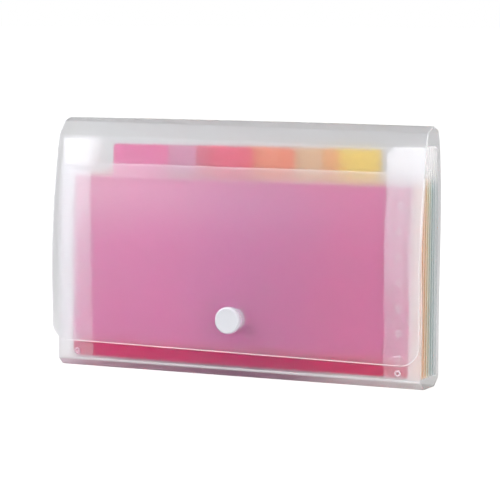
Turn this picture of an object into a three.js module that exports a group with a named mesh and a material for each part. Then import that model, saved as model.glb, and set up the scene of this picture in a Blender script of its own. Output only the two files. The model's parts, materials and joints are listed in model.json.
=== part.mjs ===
// Expanding pocket file of frosted plastic sheet, closed and standing on its sole: a folded cover
// with a long flap and a press button, six tinted dividers with index tabs, two pleated gussets.
// Millimetres. +X is the file's right, +Y its back, +Z up. The sole's underside lies at Z = 0.

import * as THREE from 'three';

// Cover sheet
const COVER = 0.7; // thickness of the sheet
const CASE_WIDTH = 186; // panels and strips, end to end
const CASE_DEPTH = 18.4; // outside to outside of the front and back panels, at the front's top edge
const FOOT_SPREAD = 3.9; // front panel's foot forward of its top edge
const CREASE_WEB = 0.5; // thinned web between two stretches of sheet at a crease
const FOOT_HEIGHT = 3.9; // creases at the foot of the front and back panels
const SOLE_FRONT_INSET = 3.7; // front panel's foot back to the sole's front crease
const SOLE_BACK_INSET = 5; // back panel forward to the sole's back crease
const FRONT_HEIGHT = 93.2; // front panel, foot crease to top edge
const FRONT_CORNER = 3; // rounding of the front panel's top corners

// Roof and flap
const FOLD_ABOVE_FRONT = 12.2; // front panel's top edge up to the flap's fold
const FLAP_CLEARANCE = 0.7; // front panel to the flap's inside, at the front panel's top edge
const FLAP_OVERHANG = 0.8; // flap past the front panel at each end
const FLAP_LIFT = 8.4; // foot crease up to the flap's lower edge
const FLAP_CORNER = 9; // rounding of the flap's lower corners
const TEMPLE_RUN = 4.1; // flap's fold back to the brow crease
const TEMPLE_RISE = 6.5;
const SHOULDER_DROP = 0.2; // flap's fold down to the crease at the back panel's top
const SHOULDER_RUN = 1.9; // back panel's top crease forward to the roof's rear crease
const SHOULDER_RISE = 6.3;
const RIDGE_CROWN = 2.5; // ridge crease above the middle of the brow and rear creases

// Press button
const BUTTON_INSET = 15; // flap's lower edge up to the button
const BUTTON_STANDOFF = 4; // front panel to the flap's inside, at the button
const CAP_RADIUS = 6.4;
const CAP_HEIGHT = 3.2;
const CAP_EDGE = 1.1; // rounding of the cap's rim
const RIVET_RADIUS = 1.6;
const SOCKET_RADIUS = 5.5;
const SOCKET_BORE = 3.6;
const SOCKET_FLOOR = 0.9;
const SOCKET_MOUTH_GAP = 0.7; // socket's mouth to the stud's flange
const STUD_RADIUS = 2.7;
const STUD_FLANGE = 0.8;
const BACKING_RADIUS = 5;
const BACKING_HEIGHT = 0.9;

// Dividers
const DIVIDER = 0.35; // thickness of a divider
const DIVIDER_INSET = 6.5; // case end to a divider's side edge
const DIVIDER_LIFT = 1.2; // foot crease up to a divider's lower edge
const DIVIDER_DROP = 6; // front panel's top edge down to a divider's shoulder
const DIVIDER_CORNER = 2.5;
const TAB_WIDTH = 29;
const TAB_PITCH = 20.6;
const TAB_DROP = 2.8; // flap's fold down to the top of the tabs
const TAB_CORNER = 2;

// Gussets
const GUSSET = 0.3; // thickness of a gusset
const GUSSET_INSET = 0.9; // case end to the outer folds
const GUSSET_REACH = 16.5; // outer folds to inner folds
const GUSSET_LIFT = 0.8; // foot crease up to a gusset's lower edge
const GUSSET_DROP = 0.8; // flap's fold down to a gusset's upper edge
const OUTER_FOLD = 0.35; // half the width of an outer fold
const INNER_FOLD = 0.25; // half the width of an inner fold

const FIT = 0.3; // gap where one piece sits on or passes through another
const ARC_STEPS = 6; // steps in a rounded corner or edge
const ROUND_STEPS = 48; // steps around the button

// Front to back, and so are their tabs from the left end to the right.
const DIVIDERS = [
  { name: 'divider_pink', colour: 0xe0569b },
  { name: 'divider_mauve', colour: 0xcf86b4 },
  { name: 'divider_red', colour: 0xe2506a },
  { name: 'divider_orange', colour: 0xee8a4e },
  { name: 'divider_tan', colour: 0xd2a883 },
  { name: 'divider_yellow', colour: 0xf0cf4a },
];

const inDepth = (depth, height) => new THREE.Vector3(0, depth, height);

// Creases, on the middle of the sheet's thickness
const panelDepth = (CASE_DEPTH - COVER) / 2;
const soleHeight = COVER / 2;
const frontTop = FOOT_HEIGHT + FRONT_HEIGHT;
const foldHeight = frontTop + FOLD_ABOVE_FRONT;
const frontFoot = inDepth(-panelDepth - FOOT_SPREAD, FOOT_HEIGHT);
const frontEdge = inDepth(-panelDepth, frontTop);
const soleFront = inDepth(frontFoot.y + SOLE_FRONT_INSET, soleHeight);
const soleBack = inDepth(panelDepth - SOLE_BACK_INSET, soleHeight);
const backFoot = inDepth(panelDepth, FOOT_HEIGHT);
const backTop = inDepth(panelDepth, foldHeight - SHOULDER_DROP);
const rearCrease = inDepth(panelDepth - SHOULDER_RUN, backTop.z + SHOULDER_RISE);

// The front panel leans back from its foot. The flap clears the front panel's top edge, and leans
// out to stand off the front panel at the button.
const flapEdgeHeight = FOOT_HEIGHT + FLAP_LIFT;
const buttonHeight = flapEdgeHeight + BUTTON_INSET;
const frontAtButton = frontFoot.clone().lerp(frontEdge, (buttonHeight - FOOT_HEIGHT) / FRONT_HEIGHT);
const flapAtButton = inDepth(frontAtButton.y - COVER - BUTTON_STANDOFF, buttonHeight);
const flapAtEdge = inDepth(frontEdge.y - COVER - FLAP_CLEARANCE, frontTop);
const frontUp = frontEdge.clone().sub(frontFoot).normalize();
const flapDown = flapAtButton.clone().sub(flapAtEdge).normalize();
const flapFold = flapAtEdge.clone().addScaledVector(flapDown, FOLD_ABOVE_FRONT / flapDown.z);
const flapLength = (flapEdgeHeight - foldHeight) / flapDown.z;

const browCrease = inDepth(flapFold.y + TEMPLE_RUN, foldHeight + TEMPLE_RISE);
const roofMiddle = browCrease.clone().add(rearCrease).divideScalar(2);
const ridgeCrease = roofMiddle.add(inDepth(0, RIDGE_CROWN));

// Pockets share the depth between the panels; a divider lies between each two. Lower down, where
// the front panel stands further forward, the pockets spread with it from the back panel.
const innerDepth = CASE_DEPTH - 2 * COVER;
const pocketCount = DIVIDERS.length + 1;
const pocketPitch = innerDepth / pocketCount;
const dividerDepth = (index) => -innerDepth / 2 + (index + 1) * pocketPitch;
const spreadDepth = (depth, height) => {
  const lean = (FOOT_SPREAD * (frontTop - height)) / (FRONT_HEIGHT * innerDepth);
  return depth + (depth - innerDepth / 2) * lean;
};

const RIGHT = new THREE.Vector3(1, 0, 0);
const LEFT = new THREE.Vector3(-1, 0, 0);
const BACK = new THREE.Vector3(0, 1, 0);

function plastic(colour, opacity, roughness = 0.4) {
  return new THREE.MeshStandardMaterial({
    color: colour,
    roughness,
    metalness: 0,
    transparent: opacity < 1,
    opacity,
  });
}

const frosted = () => plastic(0xe4e5ea, 0.5);
const whitePlastic = () => plastic(0xf4f5f8, 1, 0.3);

// A named mesh whose own X and Y axes point along the two directions given.
function piece(name, geometry, material, origin, xAxis, yAxis) {
  const mesh = new THREE.Mesh(geometry, material);
  mesh.name = name;
  const zAxis = xAxis.clone().cross(yAxis);
  mesh.quaternion.setFromRotationMatrix(new THREE.Matrix4().makeBasis(xAxis, yAxis, zAxis));
  mesh.position.copy(origin);
  return mesh;
}

// An outline through corners given as [x, y, rounding].
function roundedShape(corners) {
  const shape = new THREE.Shape();
  corners.forEach(([x, y, rounding], index) => {
    const corner = new THREE.Vector2(x, y);
    const before = new THREE.Vector2(...corners.at(index - 1));
    const after = new THREE.Vector2(...corners[(index + 1) % corners.length]);
    const start = before.sub(corner).setLength(rounding).add(corner);
    const end = after.sub(corner).setLength(rounding).add(corner);
    if (index === 0) {
      shape.moveTo(start.x, start.y);
    } else {
      shape.lineTo(start.x, start.y);
    }
    if (rounding > 0) {
      shape.quadraticCurveTo(x, y, end.x, end.y);
    }
  });
  shape.closePath();
  return shape;
}

// A flat sheet of the given thickness, with the middle of its thickness on local Z = 0.
function flatSheet(shape, thickness) {
  const geometry = new THREE.ExtrudeGeometry(shape, {
    depth: thickness,
    bevelEnabled: false,
    curveSegments: ARC_STEPS,
  });
  return geometry.translate(0, 0, -thickness / 2);
}

// A stretch of cover between two creases: a bar with round edges, as long as the case is wide.
function coverStrip(name, from, to) {
  const along = to.clone().sub(from);
  const straight = (along.length() - CREASE_WEB - COVER) / 2;
  const edge = COVER / 2;
  const section = new THREE.Shape();
  section.moveTo(-straight, -edge);
  section.lineTo(straight, -edge);
  section.absarc(straight, 0, edge, -Math.PI / 2, Math.PI / 2);
  section.lineTo(-straight, edge);
  section.absarc(-straight, 0, edge, Math.PI / 2, (3 * Math.PI) / 2);
  const middle = from.clone().add(to).divideScalar(2);
  along.normalize();
  return piece(name, flatSheet(section, CASE_WIDTH), frosted(), middle, along, RIGHT.clone().cross(along));
}

// A panel hinged on one crease, with its free corners rounded and a hole for a rivet.
function coverPanel(name, crease, away, across, length, width, corner, rivetDistance) {
  const shape = roundedShape([
    [-width / 2, CREASE_WEB / 2, 0],
    [width / 2, CREASE_WEB / 2, 0],
    [width / 2, length, corner],
    [-width / 2, length, corner],
  ]);
  const hole = new THREE.Path();
  hole.absarc(0, rivetDistance, RIVET_RADIUS + FIT, 0, 2 * Math.PI, true);
  shape.holes.push(hole);
  return piece(name, flatSheet(shape, COVER), frosted(), crease, across, away);
}

function cover() {
  const flapWidth = CASE_WIDTH + 2 * FLAP_OVERHANG;
  const flapRivet = flapAtButton.distanceTo(flapFold);
  const frontLength = frontEdge.distanceTo(frontFoot);
  const frontRivet = frontAtButton.distanceTo(frontFoot);
  return [
    coverStrip('back_panel', backFoot, backTop),
    coverStrip('bottom_back_strip', soleBack, backFoot),
    coverStrip('bottom_strip', soleFront, soleBack),
    coverStrip('bottom_front_strip', frontFoot, soleFront),
    coverPanel('front_panel', frontFoot, frontUp, RIGHT, frontLength, CASE_WIDTH, FRONT_CORNER, frontRivet),
    coverStrip('shoulder_strip', rearCrease, backTop),
    coverStrip('ridge_strip', ridgeCrease, rearCrease),
    coverStrip('brow_strip', browCrease, ridgeCrease),
    coverStrip('temple_strip', flapFold, browCrease),
    coverPanel('flap_panel', flapFold, flapDown, LEFT, flapLength, flapWidth, FLAP_CORNER, flapRivet),
  ];
}

// A turned piece standing on a sheet, its axis along the outward direction. Profile points are
// [radius, height above the middle of the sheet].
function turned(name, profile, middle, outward) {
  const points = profile.map(([radius, height]) => new THREE.Vector2(radius, height));
  const geometry = new THREE.LatheGeometry(points, ROUND_STEPS);
  return piece(name, geometry, whitePlastic(), middle, RIGHT, outward);
}

function rimArc(radius, top, edge) {
  const points = [];
  for (let step = 0; step <= ARC_STEPS; step += 1) {
    const turn = (step / ARC_STEPS) * (Math.PI / 2);
    points.push([radius - edge + edge * Math.cos(turn), top - edge + edge * Math.sin(turn)]);
  }
  return points;
}

function pressButton() {
  const seat = COVER / 2 + FIT;
  const bore = RIVET_RADIUS + FIT;
  const flapOut = flapDown.clone().cross(RIGHT);
  const frontOut = RIGHT.clone().cross(frontUp);

  const socketHeight = BUTTON_STANDOFF - 2 * FIT - STUD_FLANGE - SOCKET_MOUTH_GAP;
  const socketMouth = -seat - socketHeight;
  const socketSeat = -seat - SOCKET_FLOOR;
  const flangeTop = seat + STUD_FLANGE;
  const studTop = flangeTop + SOCKET_MOUTH_GAP + socketHeight - SOCKET_FLOOR - FIT;
  const studWall = STUD_RADIUS - RIVET_RADIUS - FIT;
  const studHollow = studTop - studWall;
  const capTop = seat + CAP_HEIGHT;

  const cap = [
    [0, socketSeat],
    [RIVET_RADIUS, socketSeat],
    [RIVET_RADIUS, seat],
    [CAP_RADIUS, seat],
    ...rimArc(CAP_RADIUS, capTop, CAP_EDGE),
    [0, capTop],
  ];
  const socket = [
    [bore, socketSeat],
    [SOCKET_BORE, socketSeat],
    [SOCKET_BORE, socketMouth],
    [SOCKET_RADIUS, socketMouth],
    [SOCKET_RADIUS, -seat],
    [bore, -seat],
    [bore, socketSeat],
  ];
  const stud = [
    [0, studHollow],
    [bore, studHollow],
    [bore, seat],
    [SOCKET_RADIUS, seat],
    [SOCKET_RADIUS, flangeTop],
    [STUD_RADIUS, flangeTop],
    [STUD_RADIUS, studTop],
    [0, studTop],
  ];
  const backing = [
    [0, -seat - BACKING_HEIGHT],
    [BACKING_RADIUS, -seat - BACKING_HEIGHT],
    [BACKING_RADIUS, -seat],
    [RIVET_RADIUS, -seat],
    [RIVET_RADIUS, studHollow - FIT],
    [0, studHollow - FIT],
  ];
  return [
    turned('button_cap', cap, flapAtButton, flapOut),
    turned('button_socket', socket, flapAtButton, flapOut),
    turned('button_stud', stud, frontAtButton, frontOut),
    turned('button_backing', backing, frontAtButton, frontOut),
  ];
}

function divider({ name, colour }, index) {
  const side = CASE_WIDTH / 2 - DIVIDER_INSET;
  const bottom = FOOT_HEIGHT + DIVIDER_LIFT;
  const shoulder = frontTop - DIVIDER_DROP;
  const tabTop = foldHeight - TAB_DROP;
  const tabCentre = (index - (DIVIDERS.length - 1) / 2) * TAB_PITCH;
  const tabLeft = tabCentre - TAB_WIDTH / 2;
  const tabRight = tabCentre + TAB_WIDTH / 2;
  const foot = inDepth(spreadDepth(dividerDepth(index), bottom), bottom);
  const top = inDepth(spreadDepth(dividerDepth(index), tabTop), tabTop);
  const height = top.distanceTo(foot);
  const shoulderHeight = height - (tabTop - shoulder);
  const shape = roundedShape([
    [-side, 0, DIVIDER_CORNER],
    [side, 0, DIVIDER_CORNER],
    [side, shoulderHeight, DIVIDER_CORNER],
    [tabRight, shoulderHeight, TAB_CORNER],
    [tabRight, height, TAB_CORNER],
    [tabLeft, height, TAB_CORNER],
    [tabLeft, shoulderHeight, TAB_CORNER],
    [-side, shoulderHeight, DIVIDER_CORNER],
  ]);
  const upwards = top.sub(foot).normalize();
  return piece(name, flatSheet(shape, DIVIDER), plastic(colour, 0.65), foot, RIGHT, upwards);
}

// The gusset's line on plan, from the front panel to the back panel. It turns inward in the
// middle of every pocket and outward at every divider.
function pleatLine() {
  const outer = CASE_WIDTH / 2 - GUSSET_INSET;
  const inner = outer - GUSSET_REACH;
  const endDepth = innerDepth / 2 - FIT - GUSSET / 2;
  const line = [new THREE.Vector2(outer, -endDepth)];
  for (let pocket = 0; pocket < pocketCount; pocket += 1) {
    const turnIn = -innerDepth / 2 + (pocket + 0.5) * pocketPitch;
    line.push(new THREE.Vector2(inner, turnIn - INNER_FOLD));
    line.push(new THREE.Vector2(inner, turnIn + INNER_FOLD));
    if (pocket < pocketCount - 1) {
      const turnOut = dividerDepth(pocket);
      line.push(new THREE.Vector2(outer, turnOut - OUTER_FOLD));
      line.push(new THREE.Vector2(outer, turnOut + OUTER_FOLD));
    }
  }
  line.push(new THREE.Vector2(outer, endDepth));
  return line;
}

// The line moved sideways by the distance given, with its corners kept sharp.
function besideLine(line, distance) {
  const sideOf = (from, to) => {
    const along = to.clone().sub(from).normalize();
    return new THREE.Vector2(-along.y, along.x);
  };
  return line.map((point, index) => {
    const before = sideOf(line[Math.max(index - 1, 0)], line[Math.max(index, 1)]);
    const last = line.length - 1;
    const after = sideOf(line[Math.min(index, last - 1)], line[Math.min(index + 1, last)]);
    const corner = before.clone().add(after).normalize();
    return point.clone().addScaledVector(corner, distance / corner.dot(before));
  });
}

function gusset(name, towardsEnd) {
  const line = pleatLine();
  const outline = [...besideLine(line, GUSSET / 2), ...besideLine(line, -GUSSET / 2).reverse()];
  const shape = new THREE.Shape(outline.map((point) => new THREE.Vector2(point.x * towardsEnd, point.y)));
  const bottom = FOOT_HEIGHT + GUSSET_LIFT;
  const height = foldHeight - GUSSET_DROP - bottom;
  const geometry = flatSheet(shape, height).translate(0, 0, bottom + height / 2);
  const points = geometry.getAttribute('position');
  for (let index = 0; index < points.count; index += 1) {
    points.setY(index, spreadDepth(points.getY(index), points.getZ(index)));
  }
  return piece(name, geometry, plastic(0xf1f1f3, 0.6), inDepth(0, 0), RIGHT, BACK);
}

const file = new THREE.Group();
file.name = 'expanding_file';
file.add(
  ...cover(),
  ...pressButton(),
  ...DIVIDERS.map(divider),
  gusset('gusset_left', -1),
  gusset('gusset_right', 1),
);

export default file;
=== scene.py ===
"""Expanding pocket file of frosted plastic sheet, closed and standing on its sole."""

import json
import math

import bmesh
import bpy
from mathutils import Matrix, Vector


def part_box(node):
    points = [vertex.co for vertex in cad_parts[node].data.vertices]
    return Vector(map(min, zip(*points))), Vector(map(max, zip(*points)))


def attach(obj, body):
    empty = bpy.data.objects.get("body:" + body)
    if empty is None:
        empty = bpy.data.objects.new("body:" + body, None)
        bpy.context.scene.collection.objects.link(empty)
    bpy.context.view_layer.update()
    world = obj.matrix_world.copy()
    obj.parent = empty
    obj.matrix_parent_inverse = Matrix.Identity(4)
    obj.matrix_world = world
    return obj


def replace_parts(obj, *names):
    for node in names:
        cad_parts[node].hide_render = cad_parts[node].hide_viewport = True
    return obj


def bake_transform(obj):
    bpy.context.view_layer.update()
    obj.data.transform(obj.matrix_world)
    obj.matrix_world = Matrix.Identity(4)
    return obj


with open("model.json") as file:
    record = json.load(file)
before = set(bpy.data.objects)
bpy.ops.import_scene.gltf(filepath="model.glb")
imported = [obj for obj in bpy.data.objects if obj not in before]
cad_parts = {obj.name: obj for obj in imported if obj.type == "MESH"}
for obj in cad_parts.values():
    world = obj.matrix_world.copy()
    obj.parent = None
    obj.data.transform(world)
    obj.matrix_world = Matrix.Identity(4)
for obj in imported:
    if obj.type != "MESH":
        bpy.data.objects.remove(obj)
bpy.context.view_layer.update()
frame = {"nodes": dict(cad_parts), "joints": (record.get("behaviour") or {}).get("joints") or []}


# Sole and back of the cover. The whole cover is one frosted polypropylene sheet, scored along its
# creases and folded up. This stretch runs from the sole's front crease under the file and up the
# back. Its edges are die-cut, so they are only slightly rounded.

MM = 0.001
case_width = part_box("back_panel")[1].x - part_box("back_panel")[0].x
cover_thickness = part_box("bottom_strip")[1].z
cover_rim = 0.12 * MM
crease_bend = 0.9 * MM
slant_seam = 1.3 * MM
same_place = 1e-6

hinge_at = {joint["name"]: Vector(joint["pos_m"]) for joint in frame["joints"]}
foot_crease = hinge_at["front_fan"]
sole_front_crease = Vector((0, -9.05, 0.35)) * MM
sole_back_crease = Vector((0, 3.85, 0.35)) * MM
back_foot_crease = Vector((0, 8.85, 3.9)) * MM
back_top_crease = Vector((0, 8.85, 109.1)) * MM
back_bulge = 1.7 * MM
back_skew = 2.1


def along(start, end, distance):
    return start + (end - start).normalized() * distance


def select_edges(wanted):
    """Selects the edges, of the piece in edit mode, whose two ends pass the test."""
    piece = bpy.context.edit_object.data
    edges = bmesh.from_edit_mesh(piece).edges
    bpy.ops.mesh.select_mode(type="EDGE")
    bpy.ops.mesh.select_all(action="DESELECT")
    for edge in edges:
        edge.select_set(all(wanted(vertex.co) for vertex in edge.verts))
    bmesh.update_edit_mesh(piece)


def on_line(point, crease):
    return (point.yz - crease.yz).length < same_place


def folded_sheet(name, creases, width):
    """A sheet drawn out from crease to crease, left in edit mode with its last edge selected."""
    bpy.ops.object.select_all(action="DESELECT")
    bpy.ops.mesh.primitive_plane_add(size=width)
    sheet = bpy.context.object
    sheet.name = name
    bpy.ops.object.mode_set(mode="EDIT")
    select_edges(lambda point: point.y < -width / 4)
    bpy.ops.transform.translate(value=creases[0] + Vector((0, width / 2, 0)))
    select_edges(lambda point: point.y > width / 4)
    bpy.ops.transform.translate(value=creases[1] - Vector((0, width / 2, 0)))
    for here, there in zip(creases[1:], creases[2:]):
        bpy.ops.mesh.extrude_edges_move(TRANSFORM_OT_translate={"value": there - here})
    return sheet


def bend_at(creases, bend, steps=6):
    """Rounds the folds that lie on the creases."""
    select_edges(lambda point: any(on_line(point, crease) for crease in creases))
    bpy.ops.mesh.bevel(offset=bend, segments=steps, profile=0.5, affect="EDGES")


def thicken(sheet, thickness, rim):
    """Gives the sheet its thickness about its middle, and breaks its cut edges."""
    bpy.ops.object.mode_set(mode="OBJECT")
    wall = sheet.modifiers.new("wall", "SOLIDIFY")
    wall.thickness = thickness
    wall.offset = 0
    wall.use_even_offset = True
    bpy.ops.object.modifier_apply(modifier=wall.name)
    edge = sheet.modifiers.new("cut_edge", "BEVEL")
    edge.width = rim
    edge.segments = 2
    edge.limit_method = "ANGLE"
    edge.angle_limit = math.radians(60)
    bpy.ops.object.modifier_apply(modifier=edge.name)
    bpy.ops.object.mode_set(mode="EDIT")
    bpy.ops.mesh.select_all(action="SELECT")
    bpy.ops.mesh.normals_make_consistent(inside=False)
    bpy.ops.object.mode_set(mode="OBJECT")
    bpy.ops.object.shade_smooth_by_angle(angle=math.radians(35))


def back_swell(height):
    """How far the back wall bulges backwards at a height, the most in its upper half."""
    share = (height - back_foot_crease.z) / (back_top_crease.z - back_foot_crease.z)
    return back_bulge * math.sin(math.pi * share**back_skew)


def back_point(share):
    flat = back_foot_crease.lerp(back_top_crease, share)
    return flat + Vector((0, back_swell(flat.z), 0))


front_slant_start = along(sole_front_crease, foot_crease, slant_seam)
back_stops = (0.15, 0.3, 0.42, 0.54, 0.65, 0.75, 0.84, 0.92)
sole_creases = [sole_front_crease, sole_back_crease, back_foot_crease]
back_line = [front_slant_start, *sole_creases, *map(back_point, back_stops), back_top_crease]
sole_and_back = folded_sheet("cover_back", back_line, case_width)
bend_at(sole_creases, crease_bend)
thicken(sole_and_back, cover_thickness, cover_rim)
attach(sole_and_back, "back_cover")
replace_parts(sole_and_back, "bottom_strip", "bottom_back_strip", "back_panel")


def make_grain():
    """Cloudiness and a fine matt emboss, shared by all the sheets."""
    group = bpy.data.node_groups.new("sheet_grain", "ShaderNodeTree")
    for label, kind in (
        ("Colour", "NodeSocketColor"),
        ("Cloud Colour", "NodeSocketColor"),
        ("Cloud Density", "NodeSocketFloat"),
        ("Grain Density", "NodeSocketFloat"),
        ("Roughness Low", "NodeSocketFloat"),
        ("Roughness High", "NodeSocketFloat"),
    ):
        group.interface.new_socket(label, in_out="INPUT", socket_type=kind)
    for label, kind in (
        ("Colour", "NodeSocketColor"),
        ("Roughness", "NodeSocketFloat"),
        ("Height", "NodeSocketFloat"),
    ):
        group.interface.new_socket(label, in_out="OUTPUT", socket_type=kind)
    nodes = group.nodes
    inputs = nodes.new("NodeGroupInput")
    outputs = nodes.new("NodeGroupOutput")
    place = nodes.new("ShaderNodeTexCoord")
    cloud = nodes.new("ShaderNodeTexNoise")
    cloud.inputs["Detail"].default_value = 3
    grain = nodes.new("ShaderNodeTexNoise")
    grain.inputs["Detail"].default_value = 1
    tint = nodes.new("ShaderNodeMix")
    tint.data_type = "RGBA"
    haze = nodes.new("ShaderNodeMapRange")
    haze.inputs["From Min"].default_value = 0.3
    haze.inputs["From Max"].default_value = 0.7
    link = group.links.new
    link(place.outputs["Object"], cloud.inputs["Vector"])
    link(place.outputs["Object"], grain.inputs["Vector"])
    link(inputs.outputs["Cloud Density"], cloud.inputs["Scale"])
    link(inputs.outputs["Grain Density"], grain.inputs["Scale"])
    link(cloud.outputs["Fac"], tint.inputs["Factor"])
    link(inputs.outputs["Colour"], tint.inputs["A"])
    link(inputs.outputs["Cloud Colour"], tint.inputs["B"])
    link(cloud.outputs["Fac"], haze.inputs["Value"])
    link(inputs.outputs["Roughness Low"], haze.inputs["To Min"])
    link(inputs.outputs["Roughness High"], haze.inputs["To Max"])
    link(tint.outputs["Result"], outputs.inputs["Colour"])
    link(haze.outputs["Result"], outputs.inputs["Roughness"])
    link(grain.outputs["Fac"], outputs.inputs["Height"])
    return group


sheet_grain = make_grain()


def sheet_plastic(name, colour, cloud_colour, clear, roughness, refraction, gloss, emboss):
    """See-through plastic sheet. The clear share passes light, and the rest scatters it."""
    material = bpy.data.materials.new(name)
    material.use_nodes = True
    nodes = material.node_tree.nodes
    shader = nodes["Principled BSDF"]
    shader.inputs["Transmission Weight"].default_value = clear
    shader.inputs["IOR"].default_value = refraction
    shader.inputs["Specular IOR Level"].default_value = gloss
    grain = nodes.new("ShaderNodeGroup")
    grain.node_tree = sheet_grain
    grain.inputs["Colour"].default_value = (*colour, 1)
    grain.inputs["Cloud Colour"].default_value = (*cloud_colour, 1)
    grain.inputs["Cloud Density"].default_value = 60
    grain.inputs["Grain Density"].default_value = 2600
    grain.inputs["Roughness Low"].default_value = roughness[0]
    grain.inputs["Roughness High"].default_value = roughness[1]
    bump = nodes.new("ShaderNodeBump")
    bump.inputs["Strength"].default_value = emboss
    bump.inputs["Distance"].default_value = 0.1 * MM
    link = material.node_tree.links.new
    link(grain.outputs["Colour"], shader.inputs["Base Color"])
    link(grain.outputs["Roughness"], shader.inputs["Roughness"])
    link(grain.outputs["Height"], bump.inputs["Height"])
    link(bump.outputs["Normal"], shader.inputs["Normal"])
    return material


def colour_along(material, axis, span, stops):
    """Multiplies the material's colour by a run of tints along one axis of the file."""
    nodes = material.node_tree.nodes
    link = material.node_tree.links.new
    place = nodes.new("ShaderNodeTexCoord")
    axes = nodes.new("ShaderNodeSeparateXYZ")
    reach = nodes.new("ShaderNodeMapRange")
    reach.inputs["From Min"].default_value = span[0]
    reach.inputs["From Max"].default_value = span[1]
    run = nodes.new("ShaderNodeValToRGB")
    run.color_ramp.interpolation = "EASE"
    while len(run.color_ramp.elements) < len(stops):
        run.color_ramp.elements.new(0.5)
    for stop, (share, colour) in zip(run.color_ramp.elements, stops):
        stop.position = share
        stop.color = (*colour, 1)
    tint = nodes.new("ShaderNodeMix")
    tint.data_type = "RGBA"
    tint.blend_type = "MULTIPLY"
    tint.inputs["Factor"].default_value = 1
    shader = nodes["Principled BSDF"]
    plain = shader.inputs["Base Color"].links[0].from_socket
    link(place.outputs["Object"], axes.inputs["Vector"])
    link(axes.outputs[axis], reach.inputs["Value"])
    link(reach.outputs["Result"], run.inputs["Fac"])
    link(plain, tint.inputs["A"])
    link(run.outputs["Color"], tint.inputs["B"])
    link(tint.outputs["Result"], shader.inputs["Base Color"])
    return tint


def fade_along(material, axis, start, end):
    """A share that falls from 1 to 0 as the distance along one axis of the file grows."""
    nodes = material.node_tree.nodes
    link = material.node_tree.links.new
    place = nodes.new("ShaderNodeTexCoord")
    axes = nodes.new("ShaderNodeSeparateXYZ")
    share = nodes.new("ShaderNodeMapRange")
    share.interpolation_type = "SMOOTHSTEP"
    share.inputs["From Min"].default_value = start
    share.inputs["From Max"].default_value = end
    share.inputs["To Min"].default_value = 1
    share.inputs["To Max"].default_value = 0
    link(place.outputs["Object"], axes.inputs["Vector"])
    link(axes.outputs[axis], share.inputs["Value"])
    return share.outputs["Result"]


cover_refraction = 1.3
cover_gloss = 0.5
cover_emboss = 0.06
frosted_cover = sheet_plastic(
    "frosted_cover",
    colour=(0.975, 0.978, 0.99),
    cloud_colour=(0.965, 0.969, 0.983),
    clear=0.986,
    roughness=(0.42, 0.48),
    refraction=cover_refraction,
    gloss=cover_gloss,
    emboss=cover_emboss,
)
whitened_cover = sheet_plastic(
    "whitened_cover",
    colour=(0.975, 0.978, 0.99),
    cloud_colour=(0.96, 0.964, 0.978),
    clear=0.52,
    roughness=(0.4, 0.5),
    refraction=cover_refraction,
    gloss=cover_gloss,
    emboss=cover_emboss,
)

# Near the foot the clear sheet is painted with the pink light of the first divider, which stands just
# above. The painted shade is deepest in the middle, and painted light fades it to white towards the
# right end.
foot_light_tints = (
    (0.0, (0.95, 0.8, 0.87)),
    (0.3, (0.84, 0.66, 0.77)),
    (0.5, (0.74, 0.54, 0.68)),
    (0.62, (0.8, 0.62, 0.73)),
    (0.8, (1, 0.95, 0.97)),
    (1.0, (1, 1, 1)),
)
foot_glow_full = 3.5 * MM
foot_glow_end = 5 * MM
foot_glow = colour_along(frosted_cover, "X", (-case_width / 2, case_width / 2), foot_light_tints)
foot_fade = fade_along(frosted_cover, "Z", foot_glow_full, foot_glow_end)
frosted_cover.node_tree.links.new(foot_fade, foot_glow.inputs["Factor"])


def cover_finish(sheet):
    """Frosted faces, whitened edges and folds, and stretches that stay flat up to their creases."""
    sheet.data.materials.append(frosted_cover)
    sheet.data.materials.append(whitened_cover)
    flat = sheet.modifiers.new("flat_stretches", "WEIGHTED_NORMAL")
    flat.keep_sharp = True
    bpy.ops.object.modifier_apply(modifier=flat.name)


cover_finish(sole_and_back)


# Rear hinge of the cover: the shoulder that leans in from the back wall, and the scored crease at
# its top, on which the roof and the flap lift. The sheet bends there and isn't cut.

rear_crease = hinge_at["flap_lift"]
rear_bend = 1.2 * MM
hinge_reach = 1.6 * MM
ridge_crease = Vector((0, 0.944, 117.8)) * MM
roof_start = along(rear_crease, ridge_crease, hinge_reach)

rear_hinge = folded_sheet("cover_shoulder", [back_top_crease, rear_crease, roof_start], case_width)
bend_at([rear_crease], rear_bend, steps=8)
thicken(rear_hinge, cover_thickness, cover_rim)
cover_finish(rear_hinge)
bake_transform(rear_hinge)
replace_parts(rear_hinge, "shoulder_strip")


# Front wall of the cover, with the slanted strip at its foot and the crease between them, on which
# the wall swings forward as the pockets fan open. Its top corners are rounded.

front_top = Vector((0, -8.85, 97.1)) * MM
front_corner = 3 * MM
rivet_hole = 1.9 * MM
rivet_at_front = Vector((0, -11.771, 27.3)) * MM
front_bulge = 2 * MM
front_stops = (0.26, 0.34, 0.42, 0.5, 0.58, 0.66, 0.74, 0.83, 0.93)
foot_bend = 0.8 * MM
seam_gap = 0.02 * MM
edge_border = 0.42 * MM
crease_whiteness = 0.6 * MM
punch_depth = 4 * MM


def select_points(wanted):
    """Selects the vertices, of the piece in edit mode, that pass the test."""
    piece = bpy.context.edit_object.data
    points = bmesh.from_edit_mesh(piece).verts
    bpy.ops.mesh.select_mode(type="VERT")
    bpy.ops.mesh.select_all(action="DESELECT")
    for point in points:
        point.select_set(wanted(point.co))
    bmesh.update_edit_mesh(piece)


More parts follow.
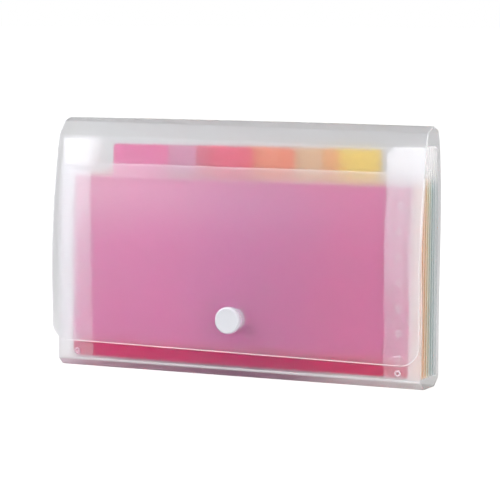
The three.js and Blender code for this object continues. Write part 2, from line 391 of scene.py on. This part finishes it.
def whiten_edges(cut_edges, creases):
    """Insets a narrow border and gives it, and the folds, the sheet's second material."""
    piece = bpy.context.edit_object.data
    bpy.ops.mesh.select_mode(type="FACE")
    bpy.ops.mesh.select_all(action="SELECT")
    bpy.ops.mesh.inset(thickness=edge_border, use_boundary=True, use_even_offset=True)
    for face in bmesh.from_edit_mesh(piece).faces:
        middle = face.calc_center_median()
        folded = any((middle.yz - crease.yz).length < crease_whiteness for crease in creases)
        face.material_index = int(folded or cut_edges(middle))
    bmesh.update_edit_mesh(piece)


def drill(sheet, middle, radius):
    """Punches a round hole through an upright sheet."""
    bpy.ops.object.select_all(action="DESELECT")
    bpy.ops.mesh.primitive_cylinder_add(
        vertices=32, radius=radius, depth=punch_depth, location=middle, rotation=(math.pi / 2, 0, 0)
    )
    punch = bpy.context.object
    cut = sheet.modifiers.new("punch", "BOOLEAN")
    cut.operation = "DIFFERENCE"
    cut.solver = "EXACT"
    cut.object = punch
    bpy.context.view_layer.objects.active = sheet
    bpy.ops.object.modifier_apply(modifier=cut.name)
    bpy.data.objects.remove(punch)
    sheet.select_set(True)


def front_swell(height):
    """How far the front wall bulges forwards at a height, between the button and its top edge."""
    share = (height - rivet_at_front.z) / (front_top.z - rivet_at_front.z)
    return front_bulge * math.sin(math.pi * min(max(share, 0), 1)) ** 2


def front_point(share):
    flat = foot_crease.lerp(front_top, share)
    return flat - Vector((0, front_swell(flat.z), 0))


front_slant_end = along(sole_front_crease, foot_crease, slant_seam + seam_gap)
front_line = [front_slant_end, foot_crease, *map(front_point, front_stops), front_top]
front_wall = folded_sheet("cover_front", front_line, case_width)
bend_at([foot_crease], foot_bend, steps=8)
select_points(lambda point: point.z > front_top.z - same_place)
bpy.ops.mesh.bevel(offset=front_corner, segments=6, affect="VERTICES")


def front_cut_edge(place):
    across = max(abs(place.x) - case_width / 2 + front_corner, 0)
    upward = max(place.z - front_top.z + front_corner, 0)
    return math.hypot(across, upward) > front_corner - edge_border


def haze_faces(sheet, wanted):
    """Gives the plain faces, of the sheet in edit mode, that pass the test the third material."""
    for face in bmesh.from_edit_mesh(sheet.data).faces:
        if face.material_index == 0 and wanted(face.calc_center_median()):
            face.material_index = 2
    bmesh.update_edit_mesh(sheet.data)


front_lip = sheet_plastic(
    "front_lip",
    colour=(0.975, 0.978, 0.99),
    cloud_colour=(0.965, 0.969, 0.983),
    clear=0.9,
    roughness=(0.42, 0.48),
    refraction=cover_refraction,
    gloss=cover_gloss,
    emboss=cover_emboss,
)
whiten_edges(front_cut_edge, [foot_crease])
haze_faces(front_wall, lambda place: place.z > front_point(front_stops[-1]).z)
thicken(front_wall, cover_thickness, cover_rim)
drill(front_wall, rivet_at_front, rivet_hole)
cover_finish(front_wall)
front_wall.data.materials.append(front_lip)
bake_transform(front_wall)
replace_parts(front_wall, "bottom_front_strip", "front_panel")


# Roof and flap of the cover. The roof is two low slopes and a steep strip, and the flap hangs from
# its front fold, a little wider than the case. The flap bows out between the fold and the button
# that holds it, and its lower corners are rounded.

flap_crease = hinge_at["flap_fold"]
brow_crease = Vector((0, -5.063, 115.8)) * MM
ridge_bend = 1.0 * MM
brow_bend = 0.3 * MM
flap_bend = 0.6 * MM
flap_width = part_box("flap_panel")[1].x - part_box("flap_panel")[0].x
flap_foot = Vector((0, -17.808, 12.3)) * MM
flap_corner = 9 * MM
flap_bow = 11.5 * MM
bow_skew = 0.9
button_share = 0.845
askew = 0.0096
ridge_hang = 0.2
ridge_bow = 0.4 * MM
flap_cuts = 7
flap_stops = (0.05, 0.1, 0.16, 0.23, 0.31, 0.4, 0.5, 0.6, 0.7, 0.8, 0.88, 1.0)
rivet_at_flap = Vector((0, -16.471, 27.3)) * MM


def flap_point(share):
    """A point of the flap's middle line, the given share of the way from its fold to its foot."""
    reach = min(share / button_share, 1)
    bow = flap_bow * reach * (1 - reach) ** bow_skew
    outward = Vector((0, -1, 0))
    return flap_crease.lerp(flap_foot, share) + outward * bow


def split_lengthwise(sheet, cuts):
    """Divides the sheet, in edit mode, into columns across its length."""
    edges = bmesh.from_edit_mesh(sheet.data).edges
    bpy.ops.mesh.select_mode(type="EDGE")
    bpy.ops.mesh.select_all(action="DESELECT")
    for edge in edges:
        edge.select_set(on_line(edge.verts[0].co, edge.verts[1].co))
    bmesh.update_edit_mesh(sheet.data)
    bpy.ops.mesh.subdivide(number_cuts=cuts)


def hang_askew(sheet):
    """Lets the flap and the roof's front hang lower at the right end, and crowns the ridge."""
    for point in bmesh.from_edit_mesh(sheet.data).verts:
        place = point.co
        to_ridge = (place.y - brow_crease.y) / (ridge_crease.y - brow_crease.y)
        past_ridge = (place.y - ridge_crease.y) / (roof_start.y - ridge_crease.y)
        to_ridge = min(max(to_ridge, 0), 1)
        past_ridge = min(max(past_ridge, 0), 1)
        crown = ridge_bow * (to_ridge - past_ridge) * (1 - (2 * place.x / case_width) ** 2)
        hang = 1 - (1 - ridge_hang) * to_ridge - ridge_hang * past_ridge
        place.z += crown - askew * hang * place.x
    bmesh.update_edit_mesh(sheet.data)


roof_start_inner = along(rear_crease, ridge_crease, hinge_reach + seam_gap)
roof_creases = [roof_start_inner, ridge_crease, brow_crease, flap_crease]
roof_and_flap = folded_sheet("cover_flap", roof_creases, case_width)
bpy.ops.transform.resize(value=(flap_width / case_width, 1, 1), center_override=(0, 0, 0))
here = flap_crease
for share in flap_stops:
    there = flap_point(share)
    bpy.ops.mesh.extrude_edges_move(TRANSFORM_OT_translate={"value": there - here})
    here = there
split_lengthwise(roof_and_flap, flap_cuts)
flap_side = flap_width / 2 - same_place
flap_low = flap_foot.z + same_place
select_points(lambda point: point.z < flap_low and abs(point.x) > flap_side)
bpy.ops.mesh.bevel(offset=flap_corner, segments=10, affect="VERTICES")
bend_at([ridge_crease], ridge_bend)
bend_at([brow_crease], brow_bend, steps=3)
bend_at([flap_crease], flap_bend)


def flap_cut_edge(place):
    half_width = (flap_width if place.z < flap_crease.z else case_width) / 2
    across = max(abs(place.x) - half_width + flap_corner, 0)
    downward = max(flap_foot.z + flap_corner - place.z, 0)
    return math.hypot(across, downward) > flap_corner - edge_border


whiten_edges(flap_cut_edge, [])
haze_faces(roof_and_flap, lambda place: place.z < flap_crease.z)
hang_askew(roof_and_flap)
thicken(roof_and_flap, cover_thickness, cover_rim)
drill(roof_and_flap, rivet_at_flap, rivet_hole)
cover_finish(roof_and_flap)
veiled_flap = sheet_plastic(
    "veiled_flap",
    colour=(0.975, 0.978, 0.995),
    cloud_colour=(0.96, 0.964, 0.983),
    clear=0.957,
    roughness=(0.31, 0.37),
    refraction=cover_refraction,
    gloss=cover_gloss,
    emboss=cover_emboss,
)
roof_and_flap.data.materials.append(veiled_flap)
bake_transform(roof_and_flap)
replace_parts(roof_and_flap, "ridge_strip", "brow_strip", "temple_strip", "flap_panel")


# Dividers: six thin tinted sheets, each die-cut with one index tab and standing between two
# pockets. Their cut shape is the CAD's, and each takes its own tint.

divider_tints = {
    "divider_pink": (0.5, (1, 1, 1), (0.97, 0.93, 0.96)),
    "divider_mauve": (0.88, (0.84, 0.3, 0.52), (0.86, 0.33, 0.55)),
    "divider_red": (0.5, (0.82, 0.04, 0.15), (0.84, 0.05, 0.18)),
    "divider_orange": (0.5, (0.88, 0.26, 0.12), (0.9, 0.29, 0.14)),
    "divider_tan": (0.8, (0.9, 0.58, 0.32), (0.92, 0.61, 0.35)),
    "divider_yellow": (0.5, (0.94, 0.72, 0.1), (0.96, 0.75, 0.13)),
}

# The pink sheet's colour carries painted light and shade. It is painted palest where most light passes
# it, high up and towards its left end, and painted dark at its foot, where the flap leaves it bare.
pink_height = (8 * MM, 104 * MM)
pink_width = (-85 * MM, 85 * MM)
pink_light_upward = (
    (0.0, (0.87, 0.012, 0.22)),
    (0.03, (0.87, 0.012, 0.22)),
    (0.08, (0.96, 0.18, 0.58)),
    (0.5, (0.95, 0.24, 0.6)),
    (0.8, (0.97, 0.45, 0.68)),
    (1.0, (0.8, 0.13, 0.38)),
)
pink_light_across = (
    (0.0, (1, 1, 1)),
    (0.25, (0.98, 0.8, 0.95)),
    (0.5, (0.88, 0.58, 0.86)),
    (0.6, (0.85, 0.48, 0.79)),
    (0.85, (0.91, 0.36, 0.72)),
    (1.0, (0.93, 0.34, 0.72)),
)
for divider_name, (clear, tint, cloud_tint) in divider_tints.items():
    divider_tint = sheet_plastic(
        divider_name.replace("divider", "tint"),
        colour=tint,
        cloud_colour=cloud_tint,
        clear=clear,
        roughness=(0.24, 0.3),
        refraction=1.25,
        gloss=0.3,
        emboss=0.08,
    )
    if divider_name == "divider_pink":
        colour_along(divider_tint, "Z", pink_height, pink_light_upward)
        colour_along(divider_tint, "X", pink_width, pink_light_across)
    divider = frame["nodes"][divider_name]
    divider.data.materials.clear()
    divider.data.materials.append(divider_tint)


# Gussets: one thin milky sheet at each end, pleated in and out between the dividers like an
# accordion. Its first leaf lies against the front wall, its top is cut back at the inner folds, and
# it spreads with the front wall when the file opens.

gusset_thickness = 0.3 * MM
gusset_rim = 0.06 * MM
pocket_count = 7
pleat_inset = 0.9 * MM
pleat_outer = case_width / 2 - pleat_inset
pleat_inner = {-1: 78 * MM, 1: 74.2 * MM}
inner_lean = {-1: 2.4 * MM, 1: 0.4 * MM}
pleat_front = -8.5 * MM
pleat_back = 8.5 * MM
pleat_foot = 4.7 * MM
pleat_top = 108.5 * MM
outer_fold = 0.5 * MM
inner_fold = 0.25 * MM
panel_gap = 0.27 * MM
corner_cut = 3 * MM
foot_spread = 3.9 * MM
fold_band = 5.6 * MM
row_cuts = 9
pocket_pitch = (pleat_back - pleat_front) / pocket_count
first_leaf_back = pleat_front + 0.4 * pocket_pitch
leaf_slot = 1
fold_slot = 2
edge_slot = 3

leaf_light_top = 0.23
leaf_light_foot = 0.08
leaf_light_reach = (4 * MM, 100 * MM)
cast_depth = (-12 * MM, 9.5 * MM)
cast_fade = (88 * MM, 97 * MM)
cast_light_colours = (
    (0.0, (0.97, 0.6, 0.34)),
    (0.32, (0.95, 0.56, 0.28)),
    (0.44, (0.92, 0.75, 0.38)),
    (0.56, (0.8, 0.82, 0.57)),
    (0.68, (0.42, 0.61, 0.6)),
    (0.9, (0.38, 0.53, 0.55)),
    (1.0, (0.4, 0.49, 0.51)),
)


def milky_sheet(name, opacity):
    """Thin milky sheet, clear enough for the sheets behind it to show."""
    material = sheet_plastic(
        name,
        colour=(0.985, 0.985, 0.99),
        cloud_colour=(0.97, 0.97, 0.977),
        clear=0,
        roughness=(0.45, 0.55),
        refraction=1.4,
        gloss=0.2,
        emboss=0.08,
    )
    material.node_tree.nodes["Principled BSDF"].inputs["Alpha"].default_value = opacity
    return material


milky_gusset = milky_sheet("milky_gusset", 0.06)
milky_leaf = milky_sheet("milky_leaf", leaf_light_foot)
milky_fold = milky_sheet("milky_fold", 0.18)
milky_edge = milky_sheet("milky_edge", 0.37)

# The leaf against the front wall is painted milkier the further it lies from the foot, as painted light
# for the light that falls in from the open top.
leaf_nodes = milky_leaf.node_tree.nodes
leaf_link = milky_leaf.node_tree.links.new
leaf_painted_light = leaf_nodes.new("ShaderNodeMapRange")
leaf_painted_light.inputs["To Min"].default_value = leaf_light_top
leaf_painted_light.inputs["To Max"].default_value = leaf_light_foot
leaf_link(fade_along(milky_leaf, "Z", *leaf_light_reach), leaf_painted_light.inputs["Value"])
leaf_link(leaf_painted_light.outputs["Result"], leaf_nodes["Principled BSDF"].inputs["Alpha"])

# Up to the dividers' shoulders, the right gusset's outer folds are painted with the coloured light that
# the dividers cast on them, warm at the front and cool grey at the back.
outer_glow = colour_along(milky_fold, "Y", cast_depth, cast_light_colours)
outer_fade = fade_along(milky_fold, "Z", *cast_fade)
milky_fold.node_tree.links.new(outer_fade, outer_glow.inputs["Factor"])


def pleat_path(side):
    """The gusset's middle line on plan, from the front wall to the back wall."""
    inner = pleat_inner[side]
    band = fold_band / (pleat_outer - inner)
    cut = 1 - corner_cut / (pleat_outer - inner)
    path = [Vector((pleat_outer, pleat_front + panel_gap, 0))]
    for pocket in range(pocket_count):
        fold_in = pleat_front + (pocket + 0.5) * pocket_pitch
        fold_out = fold_in + pocket_pitch / 2
        last = pocket == pocket_count - 1
        before = path[-1]
        going_in = Vector((inner, fold_in - inner_fold, 0))
        going_out = Vector((inner, fold_in + inner_fold, 0))
        after = Vector((pleat_outer, pleat_back - panel_gap if last else fold_out - outer_fold, 0))
        path.extend([before.lerp(going_in, band), before.lerp(going_in, cut), going_in])
        path.extend([going_out, after.lerp(going_out, cut), after.lerp(going_out, band), after])
        if not last:
            path.append(Vector((pleat_outer, fold_out + outer_fold, 0)))
    return [Vector((side * point.x, point.y, 0)) for point in path]


def fit_between_walls(gusset):
    """Divides the gusset, in edit mode, into rows that follow the two walls' lean and bulge."""
    edges = bmesh.from_edit_mesh(gusset.data).edges
    bpy.ops.mesh.select_mode(type="EDGE")
    bpy.ops.mesh.select_all(action="DESELECT")
    for edge in edges:
        edge.select_set(abs(edge.verts[0].co.z - edge.verts[1].co.z) > pleat_top / 2)
    bmesh.update_edit_mesh(gusset.data)
    bpy.ops.mesh.subdivide(number_cuts=row_cuts)
    for point in bmesh.from_edit_mesh(gusset.data).verts:
        place = point.co
        forward = (pleat_back - place.y) / (pleat_back - pleat_front)
        by_front = max(1 - (place.y - pleat_front) / pocket_pitch, 0)
        by_back = max(1 - (pleat_back - place.y) / pocket_pitch, 0)
        lean = foot_spread * (front_top.z - place.z) / (front_top.z - foot_crease.z)
        place.y += by_back * back_swell(place.z) - by_front * front_swell(place.z) - forward * lean
    bmesh.update_edit_mesh(gusset.data)


def pleated_gusset(name, side):
    """One end's gusset, side -1 at the left and 1 at the right, drawn out along its path."""
    path = pleat_path(side)
    inner = pleat_inner[side]
    height = pleat_top - pleat_foot
    middle = Vector((0, 0, (pleat_top + pleat_foot) / 2))
    bpy.ops.object.select_all(action="DESELECT")
    bpy.ops.mesh.primitive_plane_add(size=height, location=middle, rotation=(0, math.pi / 2, 0))
    gusset = bpy.context.object
    gusset.name = name
    bpy.ops.object.transform_apply(location=True, rotation=True, scale=True)
    bpy.ops.object.mode_set(mode="EDIT")
    select_edges(lambda point: point.y < -height / 4)
    bpy.ops.transform.translate(value=path[0] + Vector((0, height / 2, 0)))
    select_edges(lambda point: point.y > height / 4)
    bpy.ops.transform.translate(value=path[1] - Vector((0, height / 2, 0)))
    for here, there in zip(path[1:], path[2:]):
        bpy.ops.mesh.extrude_edges_move(TRANSFORM_OT_translate={"value": there - here})
    for face in bmesh.from_edit_mesh(gusset.data).faces:
        place = face.calc_center_median()
        first_leaf = place.y < first_leaf_back
        outer_band = abs(place.x) > pleat_outer - fold_band
        outer_line = abs(place.x) > pleat_outer - same_place
        inner_line = abs(place.x) < inner + same_place
        right_line = outer_line and side > 0
        if inner_line or right_line or (first_leaf and outer_band):
            face.material_index = edge_slot
        elif first_leaf or outer_line:
            face.material_index = leaf_slot
        elif outer_band:
            face.material_index = fold_slot
    bmesh.update_edit_mesh(gusset.data)
    select_points(lambda point: abs(point.x) < inner + same_place and point.z > middle.z)
    bpy.ops.transform.translate(value=(0, 0, -corner_cut))
    select_points(lambda point: abs(point.x) < inner + same_place and point.z < middle.z)
    bpy.ops.transform.translate(value=(inner_lean[side], 0, 0))
    fit_between_walls(gusset)
    thicken(gusset, gusset_thickness, gusset_rim)
    gusset.data.materials.append(milky_gusset)
    gusset.data.materials.append(milky_leaf)
    gusset.data.materials.append(milky_fold if side > 0 else milky_gusset)
    gusset.data.materials.append(milky_edge)
    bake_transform(gusset)
    return gusset


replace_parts(pleated_gusset("gusset_pleats_left", -1), "gusset_left")
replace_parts(pleated_gusset("gusset_pleats_right", 1), "gusset_right")


# Press button: a cap riveted through the flap into a socket ring, and a stud riveted to the front
# wall, all moulded in white polypropylene. The cap has a rolled rim round a shallow dished face.

cap_radius = 6.2 * MM
cap_seat = 0.65 * MM
cap_height = 2.6 * MM
cap_rim = 0.8 * MM
rim_steps = 8
cap_dish = ((5.1, 0.02), (4.8, 0.08), (4.4, 0.13), (2.4, 0.16), (0, 0.17))
pin_radius = 1.6 * MM
pin_depth = 1.25 * MM


def make_button_white():
    """Moulded white plastic with a satin skin that varies slightly."""
    material = bpy.data.materials.new("button_white")
    material.use_nodes = True
    nodes = material.node_tree.nodes
    shader = nodes["Principled BSDF"]
    shader.inputs["Subsurface Weight"].default_value = 0.15
    shader.inputs["Subsurface Radius"].default_value = (1, 1, 1)
    shader.inputs["Subsurface Scale"].default_value = 1.2 * MM
    grain = nodes.new("ShaderNodeGroup")
    grain.node_tree = sheet_grain
    grain.inputs["Colour"].default_value = (0.7, 0.71, 0.755, 1)
    grain.inputs["Cloud Colour"].default_value = (0.72, 0.73, 0.775, 1)
    grain.inputs["Cloud Density"].default_value = 180
    grain.inputs["Grain Density"].default_value = 3000
    grain.inputs["Roughness Low"].default_value = 0.32
    grain.inputs["Roughness High"].default_value = 0.42
    bump = nodes.new("ShaderNodeBump")
    bump.inputs["Strength"].default_value = 0.06
    bump.inputs["Distance"].default_value = 0.05 * MM
    link = material.node_tree.links.new
    link(grain.outputs["Colour"], shader.inputs["Base Color"])
    link(grain.outputs["Roughness"], shader.inputs["Roughness"])
    link(grain.outputs["Height"], bump.inputs["Height"])
    link(bump.outputs["Normal"], shader.inputs["Normal"])
    return material


button_white = make_button_white()


def spun(name, profile, steps):
    """Turns a profile of [radius, height] points about the upright axis at the origin."""
    bpy.ops.object.select_all(action="DESELECT")
    bpy.ops.mesh.primitive_plane_add(size=1 * MM)
    piece = bpy.context.object
    piece.name = name
    bpy.ops.object.mode_set(mode="EDIT")
    select_points(lambda point: point.x + point.y > -0.5 * MM)
    bpy.ops.mesh.delete(type="VERT")
    select_points(lambda point: True)
    corner = Vector((-0.5, -0.5, 0)) * MM
    points = [Vector((radius, 0, height)) for radius, height in profile]
    bpy.ops.transform.translate(value=points[0] - corner)
    for here, there in zip(points, points[1:]):
        bpy.ops.mesh.extrude_vertices_move(TRANSFORM_OT_translate={"value": there - here})
    bpy.ops.mesh.select_all(action="SELECT")
    bpy.ops.mesh.spin(steps=steps, angle=2 * math.pi, center=(0, 0, 0), axis=(0, 0, 1))
    bpy.ops.mesh.select_all(action="SELECT")
    bpy.ops.mesh.remove_doubles(threshold=0.001 * MM)
    bpy.ops.mesh.normals_make_consistent(inside=False)
    bpy.ops.object.mode_set(mode="OBJECT")
    bpy.ops.object.shade_smooth_by_angle(angle=math.radians(40))
    return piece


def stand_out(piece, middle, up):
    """Moves a piece made on the upright axis to a sheet, facing out of the sheet's front."""
    out = Vector((1, 0, 0)).cross(up)
    turn = Matrix((Vector((1, 0, 0)), up, out)).transposed()
    piece.matrix_world = Matrix.Translation(middle) @ turn.to_4x4()
    bpy.ops.object.select_all(action="DESELECT")
    piece.select_set(True)
    bpy.context.view_layer.objects.active = piece
    bpy.ops.object.transform_apply(location=True, rotation=True, scale=True)


def cap_profile():
    """From the pin's end out under the cap, round its rim and in over its dished face."""
    top = cap_seat + cap_height
    rim_radius = cap_radius - cap_rim
    rim_height = top - cap_rim
    points = [(0, -pin_depth), (pin_radius, -pin_depth), (pin_radius, cap_seat), (cap_radius, cap_seat)]
    for step in range(rim_steps + 1):
        turn = math.pi / 2 * step / rim_steps
        points.append((rim_radius + cap_rim * math.cos(turn), rim_height + cap_rim * math.sin(turn)))
    points.extend((radius * MM, top - depth * MM) for radius, depth in cap_dish)
    return points


cap = spun("button_cap_turned", cap_profile(), steps=64)
stand_out(cap, rivet_at_flap, Vector((0, 0, 1)))
cap.data.materials.append(button_white)
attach(cap, "flap")
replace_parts(cap, "button_cap")
for button_part in ("button_socket", "button_stud", "button_backing"):
    moulding = frame["nodes"][button_part]
    moulding.data.materials.clear()
    moulding.data.materials.append(button_white)


# Weld spots: the gussets are spot-welded to the front wall in a column at each end. Each weld is
# a small whitened ring, pressed up round a dimple.

weld_ring = 1.5 * MM
weld_height = 0.22 * MM
weld_gap = 0.01 * MM
weld_columns = (-82.6 * MM, 82 * MM)
weld_heights = (7.4, 14.2, 25.6, 37, 48.4, 59.8, 71.2, 82.6)


def weld_profile():
    """A closed ring, whose shares of the radius and of the height round it over."""
    base = cover_thickness / 2 + weld_gap
    rise = (0, 0.5, 0.85, 1, 0.85, 0.5, 0)
    out = (1, 0.96, 0.88, 0.74, 0.6, 0.52, 0.48)
    ring = [(weld_ring * reach, base + weld_height * share) for reach, share in zip(out, rise)]
    return [*ring, ring[0]]


# The welds are whitened plastic. Their pinkish colour is painted pink light from the pink divider
# behind the front wall.
weld_plastic = sheet_plastic(
    "weld_plastic",
    colour=(0.93, 0.84, 0.88),
    cloud_colour=(0.88, 0.8, 0.84),
    clear=0.2,
    roughness=(0.2, 0.25),
    refraction=1.45,
    gloss=0.5,
    emboss=0.02,
)

# At the left end the welds are painted pinker still, with the pink light of the sheet beside them.
weld_pink_light = ((0, (0.96, 0.82, 0.9)), (1, (1, 1, 1)))
colour_along(weld_plastic, "X", weld_columns, weld_pink_light)


def weld_column(name, across):
    """One column of welds on the front wall, joined into a single piece."""
    wall_up = (front_top - foot_crease).normalized()
    model = spun(name, weld_profile(), steps=20)
    welds = []
    for upward in weld_heights:
        place = front_point((upward * MM - foot_crease.z) / (front_top.z - foot_crease.z))
        weld = model.copy()
        weld.data = model.data.copy()
        bpy.context.collection.objects.link(weld)
        stand_out(weld, place + Vector((across, 0, 0)), wall_up)
        welds.append(weld)
    bpy.data.objects.remove(model)
    bpy.ops.object.select_all(action="DESELECT")
    for weld in welds:
        weld.select_set(True)
    bpy.context.view_layer.objects.active = welds[0]
    bpy.ops.object.join()
    column = bpy.context.object
    column.name = name
    column.data.materials.append(weld_plastic)
    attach(column, "front_cover")


for column_name, across in zip(("welds_left", "welds_right"), weld_columns):
    weld_column(column_name, across)


# Studio: a pale floor, a white surround, three soft boxes, and a camera at the photograph's angle.
# The floor and the surround look white to the camera and dimmer through the sheets, so that the clear
# sheets look grey. Through the sheets the floor is painted darker near the file, a painted shadow under
# it. This shadow is centred left of the middle, so that the floor is painted lighter under the right
# end. For the camera the floor glows a little less near the file, so that its shadow shows there.

floor_size = 30
floor_drop = 0.05 * MM

stage_white = bpy.data.materials.new("stage_white")
stage_white.use_nodes = True
stage_nodes = stage_white.node_tree.nodes
stage_link = stage_white.node_tree.links.new
floor_shader = stage_nodes["Principled BSDF"]
floor_shader.inputs["Base Color"].default_value = (0.4, 0.4, 0.4, 1)
floor_shader.inputs["Roughness"].default_value = 0.9
floor_shader.inputs["Specular IOR Level"].default_value = 0
floor_shader.inputs["Emission Color"].default_value = (1, 1, 1, 1)
stage_rays = stage_nodes.new("ShaderNodeLightPath")
stage_place = stage_nodes.new("ShaderNodeTexCoord")
stage_squeeze = stage_nodes.new("ShaderNodeVectorMath")
stage_squeeze.operation = "MULTIPLY_ADD"
stage_squeeze.inputs[1].default_value = (1, 2.2, 1)
stage_squeeze.inputs[2].default_value = (0.04, 0, 0)
stage_distance = stage_nodes.new("ShaderNodeVectorMath")
stage_distance.operation = "LENGTH"
# Painted shadow: through the sheets the floor glows less near the file, the least left of its middle.
through_sheet_shade = stage_nodes.new("ShaderNodeMapRange")
through_sheet_shade.interpolation_type = "SMOOTHSTEP"
through_sheet_shade.inputs["From Min"].default_value = 0.03
through_sheet_shade.inputs["From Max"].default_value = 0.14
through_sheet_shade.inputs["To Min"].default_value = 0.18
through_sheet_shade.inputs["To Max"].default_value = 0.4
seen_plainly = stage_nodes.new("ShaderNodeMapRange")
seen_plainly.interpolation_type = "SMOOTHSTEP"
seen_plainly.inputs["From Min"].default_value = 0.15
seen_plainly.inputs["From Max"].default_value = 0.8
seen_plainly.inputs["To Min"].default_value = 0.8
seen_plainly.inputs["To Max"].default_value = 0.95
seen_through = stage_nodes.new("ShaderNodeMath")
seen_through.operation = "MAXIMUM"
glow_through = stage_nodes.new("ShaderNodeMath")
glow_through.operation = "MULTIPLY"
glow_direct = stage_nodes.new("ShaderNodeMath")
glow_direct.operation = "MULTIPLY_ADD"
stage_link(stage_place.outputs["Object"], stage_squeeze.inputs[0])
stage_link(stage_squeeze.outputs["Vector"], stage_distance.inputs[0])
stage_link(stage_distance.outputs["Value"], through_sheet_shade.inputs["Value"])
stage_link(stage_distance.outputs["Value"], seen_plainly.inputs["Value"])
stage_link(seen_plainly.outputs["Result"], glow_direct.inputs[1])
stage_link(stage_rays.outputs["Is Glossy Ray"], seen_through.inputs[0])
stage_link(stage_rays.outputs["Is Transmission Ray"], seen_through.inputs[1])
stage_link(seen_through.outputs["Value"], glow_through.inputs[0])
stage_link(through_sheet_shade.outputs["Result"], glow_through.inputs[1])
stage_link(stage_rays.outputs["Is Camera Ray"], glow_direct.inputs[0])
stage_link(glow_through.outputs["Value"], glow_direct.inputs[2])
stage_link(glow_direct.outputs["Value"], floor_shader.inputs["Emission Strength"])

bpy.ops.object.select_all(action="DESELECT")
bpy.ops.mesh.primitive_plane_add(size=floor_size, location=(0, 0, -floor_drop))
floor = bpy.context.object
floor.name = "floor"
floor.data.materials.append(stage_white)

world = bpy.data.worlds.new("studio")
bpy.context.scene.world = world
world.use_nodes = True
world_nodes = world.node_tree.nodes
world_link = world.node_tree.links.new
ambient = world_nodes["Background"]
ambient.inputs["Color"].default_value = (1, 1, 1, 1)
direction = world_nodes.new("ShaderNodeTexCoord")
height = world_nodes.new("ShaderNodeSeparateXYZ")
ceiling = world_nodes.new("ShaderNodeMapRange")
ceiling.interpolation_type = "SMOOTHSTEP"
ceiling.inputs["From Min"].default_value = 0.01
ceiling.inputs["From Max"].default_value = 0.15
ceiling.inputs["To Min"].default_value = 0.82
ceiling.inputs["To Max"].default_value = 0.34
world_link(direction.outputs["Generated"], height.inputs["Vector"])
world_link(height.outputs["Z"], ceiling.inputs["Value"])
world_link(ceiling.outputs["Result"], ambient.inputs["Strength"])
white = world_nodes.new("ShaderNodeBackground")
white.inputs["Color"].default_value = (1, 1, 1, 1)
white.inputs["Strength"].default_value = 1
rays = world_nodes.new("ShaderNodeLightPath")
surround = world_nodes.new("ShaderNodeMixShader")
world_link(rays.outputs["Is Camera Ray"], surround.inputs["Fac"])
world_link(ambient.outputs["Background"], surround.inputs[1])
world_link(white.outputs["Background"], surround.inputs[2])
world_link(surround.outputs["Shader"], world_nodes["World Output"].inputs["Surface"])


file_middle = Vector((0, 0, 0.07))


def add_soft_box(name, location, width, depth, power):
    """A rectangular soft box that faces the middle of the file."""
    bpy.ops.object.light_add(type="AREA", location=location)
    box = bpy.context.object
    box.name = name
    box.data.shape = "RECTANGLE"
    box.data.size = width
    box.data.size_y = depth
    box.data.energy = power
    box.rotation_euler = (file_middle - box.location).to_track_quat("-Z", "Y").to_euler()


add_soft_box("top_box", location=(-0.1, -0.05, 0.7), width=0.7, depth=0.7, power=0.76)
add_soft_box("key_box", location=(-0.3, -0.25, 0.33), width=0.4, depth=0.3, power=1.78)
add_soft_box("fill_box", location=(0.42, -0.38, 0.18), width=0.3, depth=0.3, power=1.82)

camera_turn = math.radians(25.743)
camera_rise = math.radians(5.826)
camera_distance = 1.100582
camera_back = Vector(
    (
        math.sin(camera_turn) * math.cos(camera_rise),
        -math.cos(camera_turn) * math.cos(camera_rise),
        math.sin(camera_rise),
    )
)
camera_right = Vector((math.cos(camera_turn), math.sin(camera_turn), 0))
camera_up = camera_back.cross(camera_right)
camera_target = Vector((0, 0, 0.06))
picture_right = 2.31 * MM
picture_drop = 1.78 * MM
picture_centre = camera_target + camera_right * picture_right - camera_up * picture_drop
bpy.ops.object.camera_add(location=camera_target + camera_back * camera_distance)
camera = bpy.context.object
camera.data.lens = 170.289
camera.data.sensor_width = 36
camera.rotation_euler = (picture_centre - camera.location).to_track_quat("-Z", "Y").to_euler()
scene = bpy.context.scene
scene.camera = camera
scene.view_settings.view_transform = "Standard"
scene.cycles.max_bounces = 128
scene.cycles.transmission_bounces = 128
scene.cycles.diffuse_bounces = 40
scene.cycles.glossy_bounces = 40
scene.cycles.blur_glossy = 0
scene.cycles.sample_clamp_indirect = 8
scene.cycles.transparent_max_bounces = 64
